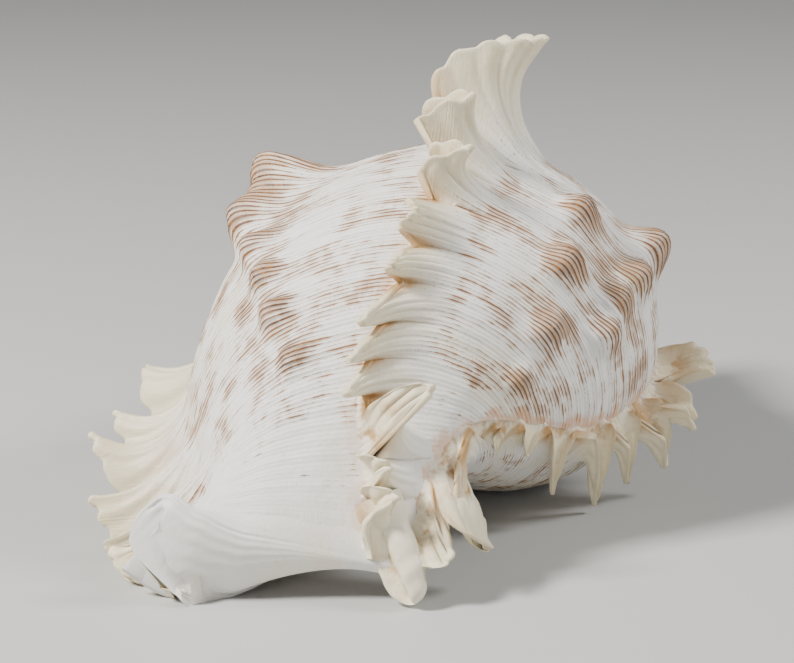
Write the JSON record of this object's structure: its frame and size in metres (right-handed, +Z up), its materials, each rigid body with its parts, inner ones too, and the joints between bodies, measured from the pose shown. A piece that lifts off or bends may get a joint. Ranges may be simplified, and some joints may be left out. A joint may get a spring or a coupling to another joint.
{
  "type": "ramose murex shell",
  "caption": "Large spiral sea snail shell with rows of hollow, frilled, branched-looking spines, a pointed spire and a long side canal, lying on its aperture side",
  "frame": {"origin": "On the table under the middle of the bounding box.", "axes": "+Z is up from the table the shell lies on. The coiling axis lies in the YZ plane: the apex is at +Y and raised, the siphonal canal at -Y. The outer lip is at -X."},
  "size_m": [0.1261, 0.1478, 0.0966],
  "materials": {
    "white_shell": "satin white shell with cream spines and brown dashes between fine spiral cords"
  },
  "bodies": {
    "root": {"shell": "white_shell"}
  },
  "joints": []
}
